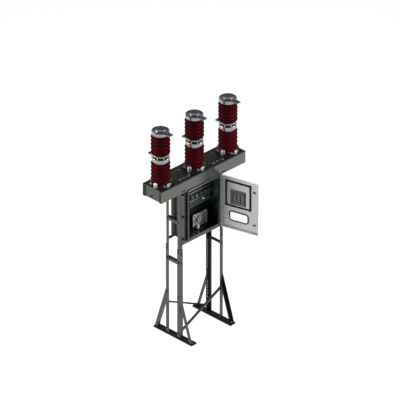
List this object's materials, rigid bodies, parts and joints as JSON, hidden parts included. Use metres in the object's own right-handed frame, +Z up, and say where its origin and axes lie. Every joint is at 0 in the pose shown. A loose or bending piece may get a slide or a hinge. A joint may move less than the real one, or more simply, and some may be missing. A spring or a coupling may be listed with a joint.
{
  "type": "gas insulated breaker",
  "caption": "Outdoor high-voltage breaker: upright insulated poles on a beam, carried by an angle-steel stand, with an open control cabinet whose door swings on hinges.",
  "frame": {"origin": "on the ground under the middle of the beam, at the centre of the four anchor holes", "axes": "+Z up, X along the beam through the poles, -Y towards the side of the cabinet's door"},
  "size_m": [1.71, 1.1593, 3.541],
  "materials": {
    "grey_paint": "semi-gloss",
    "dark_steel": "satin",
    "cast_aluminium": "satin",
    "shed_rubber": "satin",
    "door_paint": "semi-gloss",
    "gasket_rubber": "matt",
    "window_glass": "clear",
    "dark_plastic": "matt",
    "bright_steel": "brushed"
  },
  "bodies": {
    "frame": {"beam_bottom_plate": "grey_paint", "beam_end_plates": "grey_paint", "beam_front_channel": "grey_paint", "beam_rear_channel": "grey_paint", "beam_top_plate": "dark_steel", "cabinet_back": "grey_paint", "cabinet_floor": "grey_paint", "cabinet_hinges": "grey_paint", "cabinet_roof": "grey_paint", "cabinet_sides": "grey_paint", "cabinet_straps": "grey_paint", "charging_motor": "bright_steel", "charging_wheel": "bright_steel", "closing_spring": "bright_steel", "diagonal_front": "grey_paint", "diagonal_rear": "grey_paint", "foot_rails": "dark_steel", "inspection_covers": "dark_steel", "knee_braces_left": "grey_paint", "knee_braces_right": "grey_paint", "lower_insulators": "shed_rubber", "lower_legs_left": "grey_paint", "lower_legs_right": "grey_paint", "mechanism_box": "dark_steel", "mechanism_plate": "bright_steel", "mounting_plate": "dark_steel", "pole_bases": "cast_aluminium", "pole_caps": "cast_aluminium", "pole_housings": "cast_aluminium", "shelf_angles": "grey_paint", "side_ties_left": "grey_paint", "side_ties_right": "grey_paint", "terminal_rows": "dark_plastic", "upper_insulators": "shed_rubber", "upper_legs_left": "grey_paint", "upper_legs_right": "grey_paint"},
    "door": {"door_gaskets": "gasket_rubber", "door_hinge_leaves": "grey_paint", "door_latches": "bright_steel", "door_panel": "door_paint", "slotted_panel": "dark_plastic", "window_pane": "window_glass"}
  },
  "joints": [
    {"name": "door_hinge", "type": "hinge", "parent": "frame", "child": "door", "pos_m": [0.363, -0.156, 2.015], "axis": [0, 0, 1], "range_deg": [-105.7, 12]}
  ]
}
